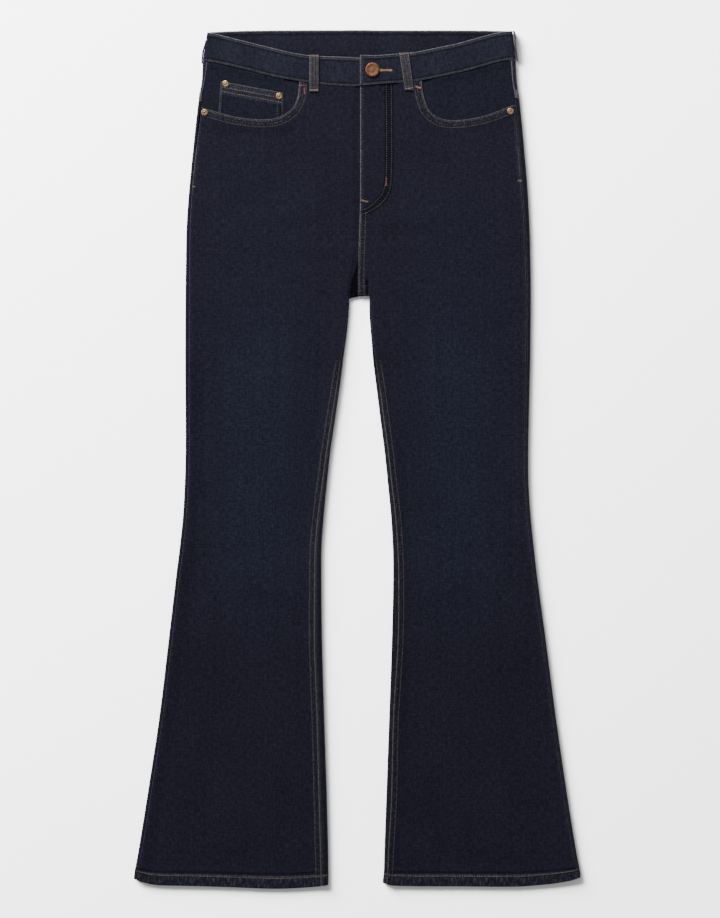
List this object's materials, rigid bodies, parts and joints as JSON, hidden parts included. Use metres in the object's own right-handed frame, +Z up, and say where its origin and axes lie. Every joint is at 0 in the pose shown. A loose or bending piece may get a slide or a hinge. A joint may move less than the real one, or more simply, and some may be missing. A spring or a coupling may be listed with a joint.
{
  "type": "flared jeans laid flat",
  "caption": "High-waisted flared denim jeans laid flat front up, with a curved waistband, front scoop pockets, a small inner pocket, a buttoned fly and belt loops.",
  "frame": {"origin": "middle of the garment's box, on the surface it lies on", "axes": "+Z up out of the surface through the front of the jeans, +Y from the hems to the waistband, +X towards the wearer's left leg"},
  "size_m": [0.5715, 1.1016, 0.0121],
  "materials": {
    "denim": "dark indigo stretch denim, slightly washed",
    "denim_inside": "dark denim, the waistband's inner face",
    "thread": "bronze brown topstitching thread",
    "zip_tape": "dark woven zip tape",
    "copper": "antique copper"
  },
  "bodies": {
    "root": {"front_right": "denim", "front_left": "denim", "back_right": "denim", "back_left": "denim", "yoke_right": "denim", "yoke_left": "denim", "waistband_right": "denim", "waistband_left": "denim", "pocket_facing_right": "denim", "pocket_facing_left": "denim", "coin_pocket": "denim", "back_pocket_right": "denim", "back_pocket_left": "denim", "belt_loop_front_right": "denim", "belt_loop_front_left": "denim", "belt_loop_side_right": "denim", "belt_loop_side_left": "denim", "belt_loop_back": "denim", "zip": "zip_tape", "button": "copper", "rivet_pocket_right": "copper", "rivet_pocket_left": "copper", "rivet_coin_outer": "copper", "rivet_coin_inner": "copper"}
  },
  "joints": []
}
